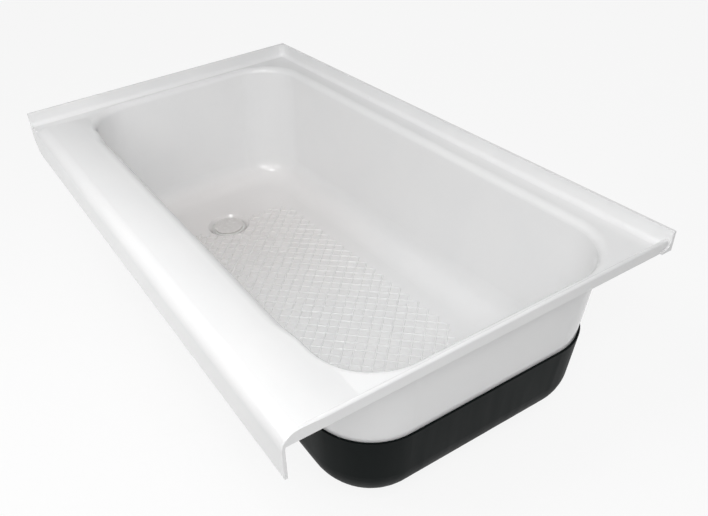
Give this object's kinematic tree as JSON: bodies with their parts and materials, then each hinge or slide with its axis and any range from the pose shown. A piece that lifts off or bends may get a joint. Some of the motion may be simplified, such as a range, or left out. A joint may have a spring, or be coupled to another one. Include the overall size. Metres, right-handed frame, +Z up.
{
  "type": "bathtub",
  "caption": "Small alcove bathtub with a thermoformed shell, tile flanges on the left end and back, a front ledge with a short skirt, a base pan and a foot-operated drain.",
  "frame": {"origin": "middle of the tub's footprint, on the floor that the board under the pan stands on", "axes": "+X along the tub away from the drain end, +Y from the front skirt to the back tile flange, +Z up"},
  "size_m": [1.016, 0.61, 0.33],
  "materials": {
    "shell_plastic": "smooth gloss white",
    "pan_plastic": "satin black",
    "board": "bare plywood",
    "foam": "cellular rigid foam",
    "drain_metal": "fine brushed",
    "gasket_rubber": "matte",
    "washer_rubber": "matte",
    "slip_plastic": "smooth",
    "nut_plastic": "moulded",
    "post_brass": "turned",
    "sleeve_brass": "turned",
    "seal_rubber": "matte",
    "cap_plastic": "smooth pale",
    "spring_steel": "drawn wire"
  },
  "bodies": {
    "tub": {"tub_shell": "shell_plastic", "base_pan": "pan_plastic", "bed_board": "board", "bed_foam": "foam", "drain_body": "drain_metal", "flange_gasket": "gasket_rubber", "drain_washer": "washer_rubber", "friction_washer": "slip_plastic", "drain_locknut": "nut_plastic", "stopper_post": "post_brass"},
    "stopper": {"stopper_cap": "cap_plastic", "stopper_seal": "seal_rubber", "stopper_sleeve": "sleeve_brass", "stopper_spring": "spring_steel"}
  },
  "joints": [
    {"name": "stopper_lift", "type": "slide", "parent": "tub", "child": "stopper", "axis": [0, 0, 1], "range_m": [0, 0.0075], "deforming": ["stopper_spring"]}
  ]
}
